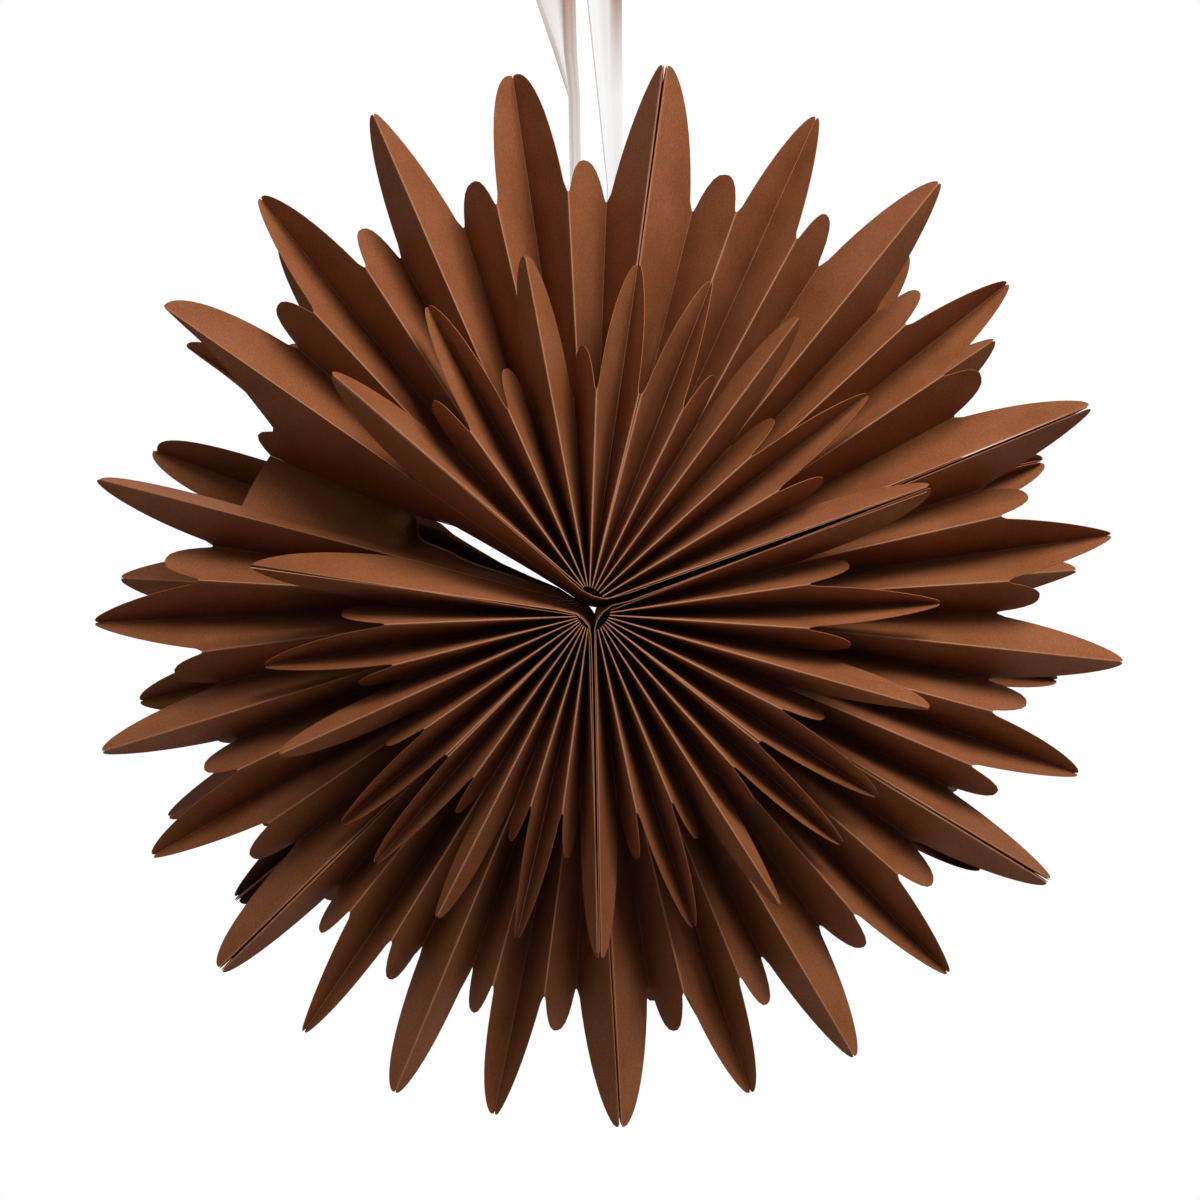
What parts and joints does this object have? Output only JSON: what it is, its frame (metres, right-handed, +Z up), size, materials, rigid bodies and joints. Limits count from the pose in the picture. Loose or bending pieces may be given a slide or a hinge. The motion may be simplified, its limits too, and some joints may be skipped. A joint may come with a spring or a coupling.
{
  "type": "folded paper snowflake",
  "caption": "Large double-sided snowflake of pleated, leaf-cut brown paper in two tiers of leaves, hung from a sheer white ribbon loop.",
  "frame": {"origin": "top of the ribbon's loop, where the star hangs from a hook", "axes": "+Z up, the star's axis along Y with its pictured front facing -Y, +X to the right seen from the front"},
  "size_m": [0.6016, 0.22, 0.702],
  "materials": {
    "brown_paper": "matte",
    "sheer_ribbon": "satin"
  },
  "bodies": {
    "root": {"front_small_fan_1": "brown_paper", "front_small_fan_2": "brown_paper", "front_small_fan_3": "brown_paper", "front_small_fan_4": "brown_paper", "front_small_fan_5": "brown_paper", "front_small_fan_6": "brown_paper", "front_large_fan_1": "brown_paper", "front_large_fan_2": "brown_paper", "front_large_fan_3": "brown_paper", "front_large_fan_4": "brown_paper", "front_large_fan_5": "brown_paper", "front_large_fan_6": "brown_paper", "back_large_fan_1": "brown_paper", "back_large_fan_2": "brown_paper", "back_large_fan_3": "brown_paper", "back_large_fan_4": "brown_paper", "back_large_fan_5": "brown_paper", "back_large_fan_6": "brown_paper", "back_small_fan_1": "brown_paper", "back_small_fan_2": "brown_paper", "back_small_fan_3": "brown_paper", "back_small_fan_4": "brown_paper", "back_small_fan_5": "brown_paper", "back_small_fan_6": "brown_paper", "cover_1": "brown_paper", "cover_2": "brown_paper", "cover_3": "brown_paper", "hanging_ribbon": "sheer_ribbon"}
  },
  "joints": []
}
